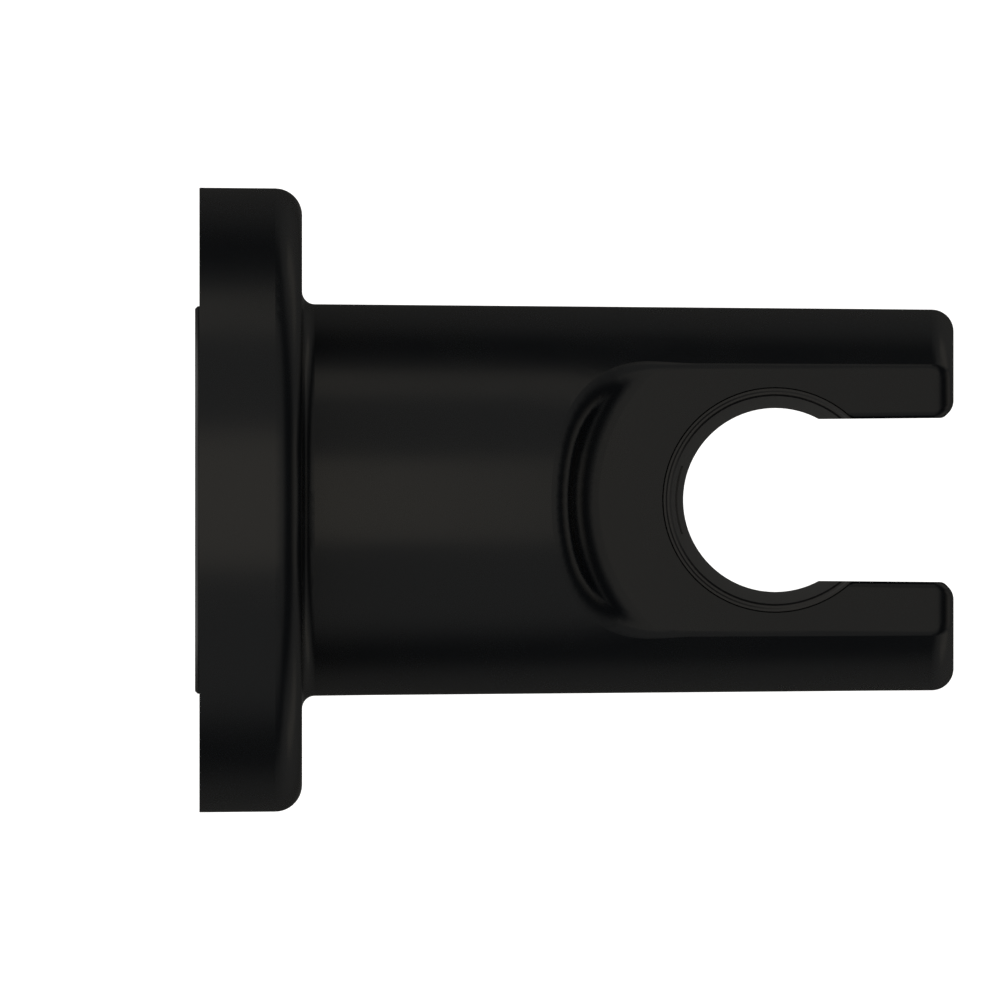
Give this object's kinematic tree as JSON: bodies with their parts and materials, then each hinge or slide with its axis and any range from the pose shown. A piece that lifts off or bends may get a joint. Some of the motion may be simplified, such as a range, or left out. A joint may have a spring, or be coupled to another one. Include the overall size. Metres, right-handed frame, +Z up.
{
  "type": "hand shower holder",
  "caption": "Fixed wall holder for a hand shower: a round flange, a thick round arm and an open forked cradle with a conical plastic liner.",
  "frame": {"origin": "middle of the wall face, the back of the wall plate", "axes": "+X straight away from the wall along the arm, +Z up along the cradle's axis, +Y sideways"},
  "size_m": [0.0867, 0.0714, 0.0714],
  "materials": {
    "coated_casting": "satin black coating on a zinc die casting",
    "liner_plastic": "black moulded acetal, fine matt texture",
    "coated_plate": "thin dull black coat over a turned zinc casting",
    "screw_steel": "plain stainless steel"
  },
  "bodies": {
    "root": {"holder_body": "coated_casting", "cradle_liner": "liner_plastic", "wall_plate": "coated_plate", "set_screw": "screw_steel"}
  },
  "joints": []
}
